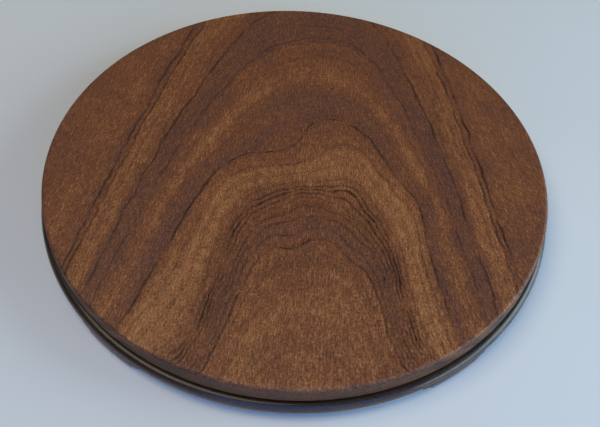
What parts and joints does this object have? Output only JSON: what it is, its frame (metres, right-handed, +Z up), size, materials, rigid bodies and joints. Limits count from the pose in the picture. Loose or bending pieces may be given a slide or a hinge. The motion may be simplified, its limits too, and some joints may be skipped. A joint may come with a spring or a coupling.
{
  "type": "lazy susan turntable",
  "caption": "Round dark wooden turntable top that spins on a ball-race bearing over a round wooden base with carved bracket feet.",
  "frame": {"origin": "on the bearing axis, at the surface that the felt pads stand on", "axes": "+Z up along the bearing axis; -Y towards the side with two feet, from which the object is seen in the source picture"},
  "size_m": [0.3068, 0.3068, 0.0245],
  "materials": {
    "top_wood": "satin oiled dark rosewood-like hardwood with cathedral grain",
    "base_wood": "satin polished dark hardwood",
    "felt": "pressed brown felt",
    "zinc_steel": "galvanised stamped sheet",
    "screw_steel": "yellow zinc plated",
    "ball_steel": "polished hardened steel",
    "nylon": "natural moulded nylon"
  },
  "bodies": {
    "base": {"base_disc": "base_wood", "foot_1": "base_wood", "foot_2": "base_wood", "foot_3": "base_wood", "foot_4": "base_wood", "foot_5": "base_wood", "foot_pad_1": "felt", "foot_pad_2": "felt", "foot_pad_3": "felt", "foot_pad_4": "felt", "foot_pad_5": "felt", "foot_screw_1a": "screw_steel", "foot_screw_1b": "screw_steel", "foot_screw_2a": "screw_steel", "foot_screw_2b": "screw_steel", "foot_screw_3a": "screw_steel", "foot_screw_3b": "screw_steel", "foot_screw_4a": "screw_steel", "foot_screw_4b": "screw_steel", "foot_screw_5a": "screw_steel", "foot_screw_5b": "screw_steel", "lower_race_plate": "zinc_steel", "race_eyelet": "zinc_steel", "lower_plate_screw_1": "screw_steel", "lower_plate_screw_2": "screw_steel", "lower_plate_screw_3": "screw_steel", "lower_plate_screw_4": "screw_steel", "lower_plate_nut_1": "screw_steel", "lower_plate_nut_2": "screw_steel", "lower_plate_nut_3": "screw_steel", "lower_plate_nut_4": "screw_steel"},
    "turntable": {"top_disc": "top_wood", "upper_race_plate": "zinc_steel", "upper_plate_screw_1": "screw_steel", "upper_plate_screw_2": "screw_steel", "upper_plate_screw_3": "screw_steel", "upper_plate_screw_4": "screw_steel"},
    "ball_cage": {"ball_cage_ring": "nylon", "ball_01": "ball_steel", "ball_02": "ball_steel", "ball_03": "ball_steel", "ball_04": "ball_steel", "ball_05": "ball_steel", "ball_06": "ball_steel", "ball_07": "ball_steel", "ball_08": "ball_steel", "ball_09": "ball_steel", "ball_10": "ball_steel", "ball_11": "ball_steel", "ball_12": "ball_steel", "ball_13": "ball_steel", "ball_14": "ball_steel", "ball_15": "ball_steel", "ball_16": "ball_steel"}
  },
  "joints": [
    {"name": "turntable_spin", "type": "hinge", "parent": "base", "child": "turntable", "pos_m": [0, 0, 0.0129], "axis": [0, 0, 1], "continuous": true},
    {"name": "ball_cage_spin", "type": "hinge", "parent": "base", "child": "ball_cage", "pos_m": [0, 0, 0.0129], "axis": [0, 0, 1], "continuous": true}
  ],
  "couplings": [
    {"joint": "ball_cage_spin", "follows": "turntable_spin", "ratio": 0.5}
  ]
}
